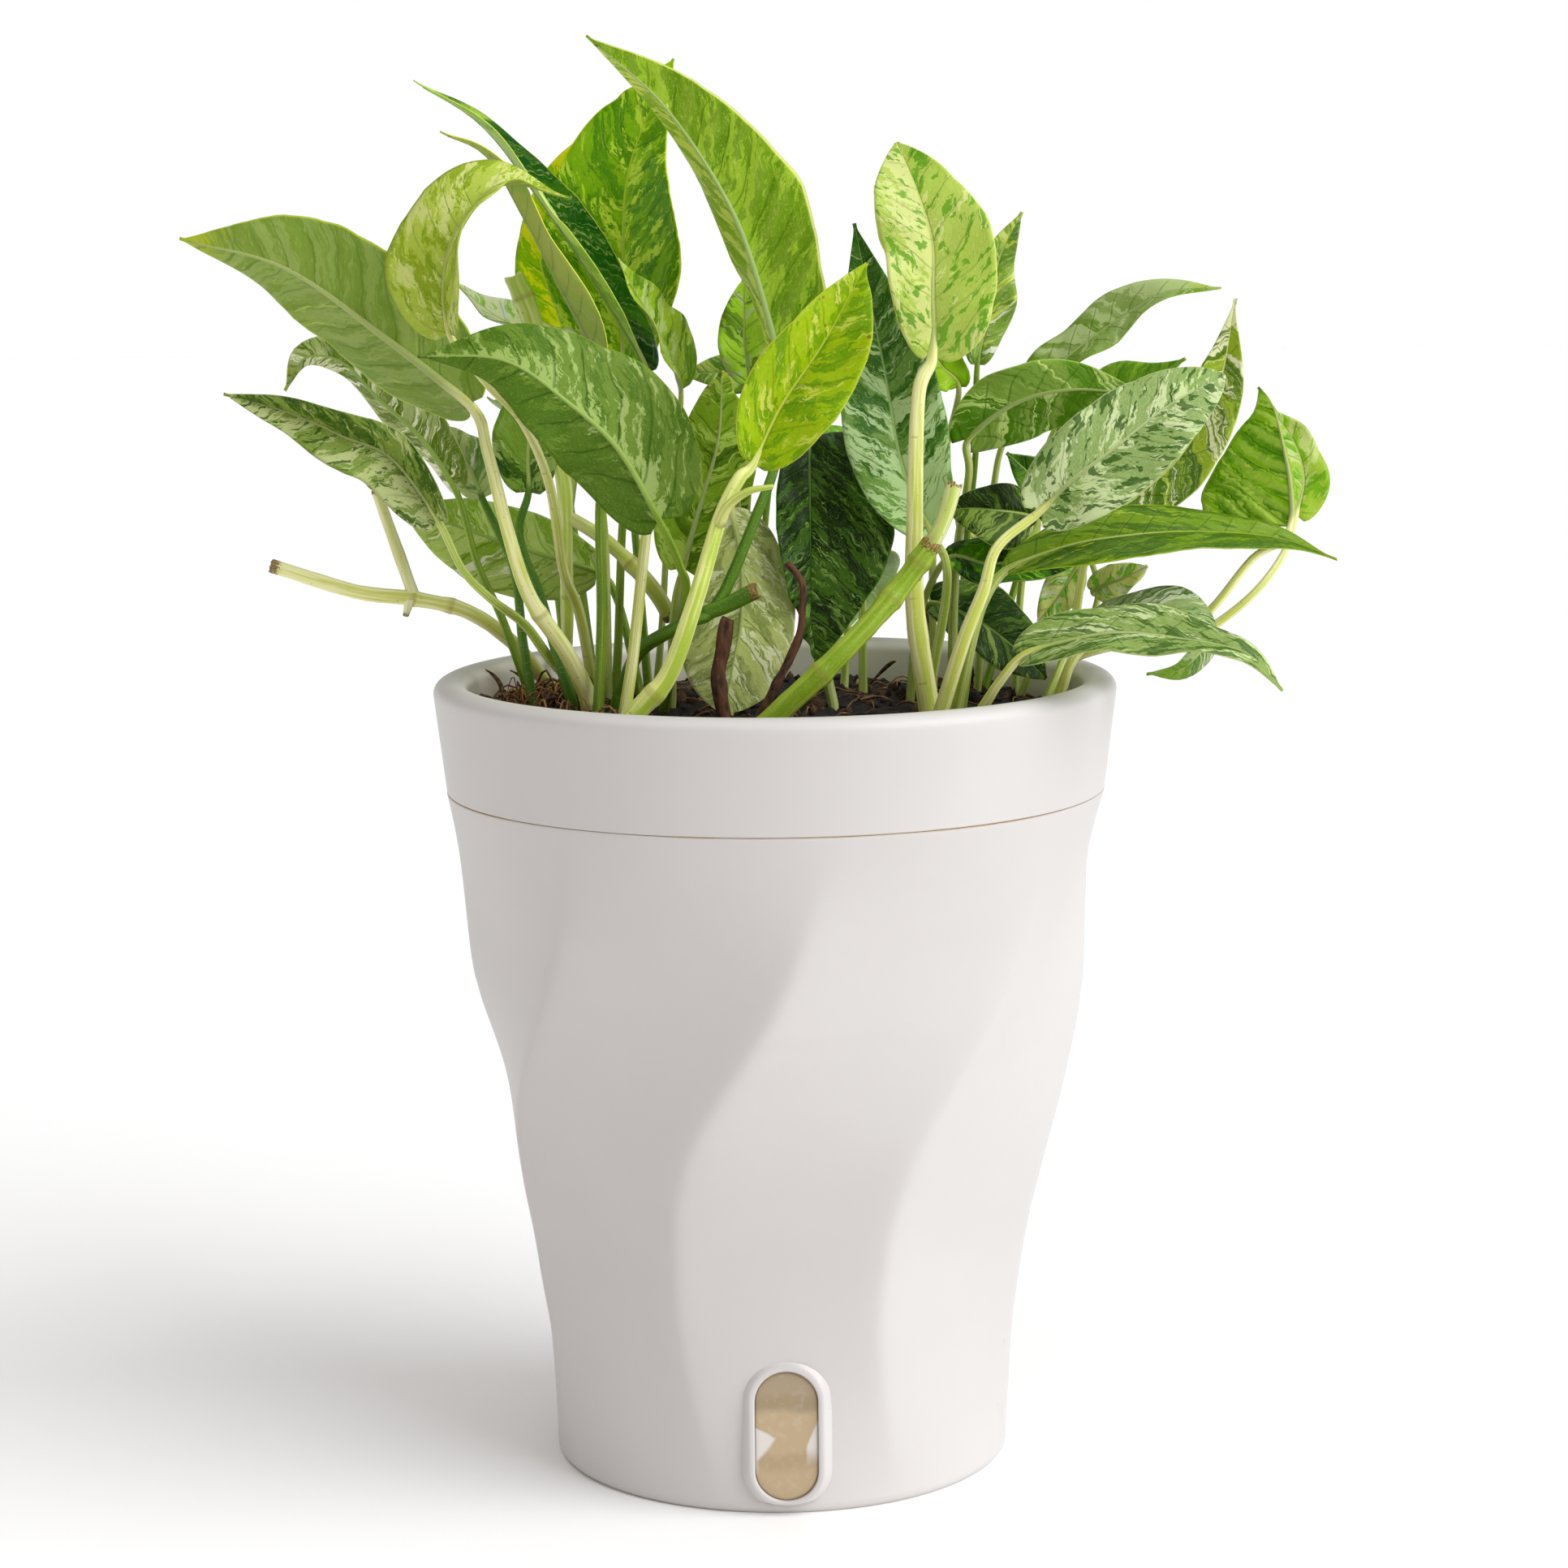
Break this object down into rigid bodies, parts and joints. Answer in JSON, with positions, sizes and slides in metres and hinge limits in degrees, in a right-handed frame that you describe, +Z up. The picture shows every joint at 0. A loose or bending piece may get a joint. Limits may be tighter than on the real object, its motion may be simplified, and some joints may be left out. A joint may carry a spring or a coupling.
{
  "type": "potted krabi epipremnum",
  "caption": "Marble-leaved vining aroid house plant in a white self-watering pot with a twisted, faceted body, a plain collar and an upright water window at the foot.",
  "frame": {"origin": "centre of the outer pot's flat foot, on the surface the pot stands on", "axes": "+Z up along the pot's axis; -Y towards the front, where the water window is; +X to the right seen from the front"},
  "size_m": [0.251, 0.1634, 0.3135],
  "materials": {
    "white_plastic": "satin",
    "tinted_pane": "clear, tinted",
    "soil": "loose, fibrous",
    "leaf_green": "waxy",
    "leaf_underside": "matte",
    "leaf_pale": "waxy",
    "leaf_marbled": "waxy",
    "leaf_lime": "waxy",
    "leaf_dark": "waxy",
    "stem_pale": "smooth",
    "stem_green": "smooth",
    "bark": "dry, rough"
  },
  "bodies": {
    "root": {"outer_pot": "white_plastic", "planter": "white_plastic", "water_window": "tinted_pane", "soil": "soil", "old_vine": "stem_pale", "runner_left": "stem_pale", "cut_stem_front": "stem_green", "aerial_root": "bark", "dried_stem": "bark", "leaf_far_left": "leaf_underside", "leaf_folded_pale": "leaf_pale", "leaf_front_left": "leaf_underside", "leaf_top": "leaf_green", "leaf_tall_marbled": "leaf_marbled", "leaf_lime_behind": "leaf_lime", "leaf_long_dark": "leaf_dark", "leaf_edge_on_pale": "leaf_pale", "leaf_lime_sliver": "leaf_lime", "leaf_foreshortened": "leaf_pale", "leaf_dark_behind_left": "leaf_dark", "leaf_small_upright": "leaf_green", "leaf_dark_level": "leaf_dark", "leaf_grey_upright": "leaf_underside", "leaf_hanging_pale": "leaf_pale", "leaf_front_lime": "leaf_lime", "leaf_drooping_dark": "leaf_dark", "leaf_white_streaked": "leaf_dark", "leaf_tall_pale": "leaf_pale", "leaf_narrow_behind": "leaf_dark", "leaf_lime_low": "leaf_lime", "leaf_upper_right": "leaf_green", "leaf_right_level": "leaf_underside", "leaf_front_right": "leaf_pale", "leaf_right_long": "leaf_green", "leaf_right_pointed": "leaf_marbled", "leaf_ribbed": "leaf_green", "leaf_far_right": "leaf_lime", "leaf_lower_right": "leaf_pale", "leaf_curled_right": "leaf_green", "leaf_low_dark_right": "leaf_dark", "leaf_under_right": "leaf_dark", "leaf_middle_right": "leaf_underside", "leaf_back_low_right": "leaf_dark", "leaf_small_marbled": "leaf_marbled", "leaf_left_low": "leaf_marbled", "leaf_left_hooked": "leaf_underside", "leaf_left_small_dark": "leaf_dark", "leaf_left_back": "leaf_underside", "leaf_back_sliver": "leaf_green", "leaf_back_a": "leaf_green", "leaf_back_b": "leaf_marbled", "leaf_back_c": "leaf_green", "leaf_back_d": "leaf_marbled", "leaf_back_e": "leaf_green", "leaf_back_f": "leaf_pale", "leaf_back_g": "leaf_green"}
  },
  "joints": []
}
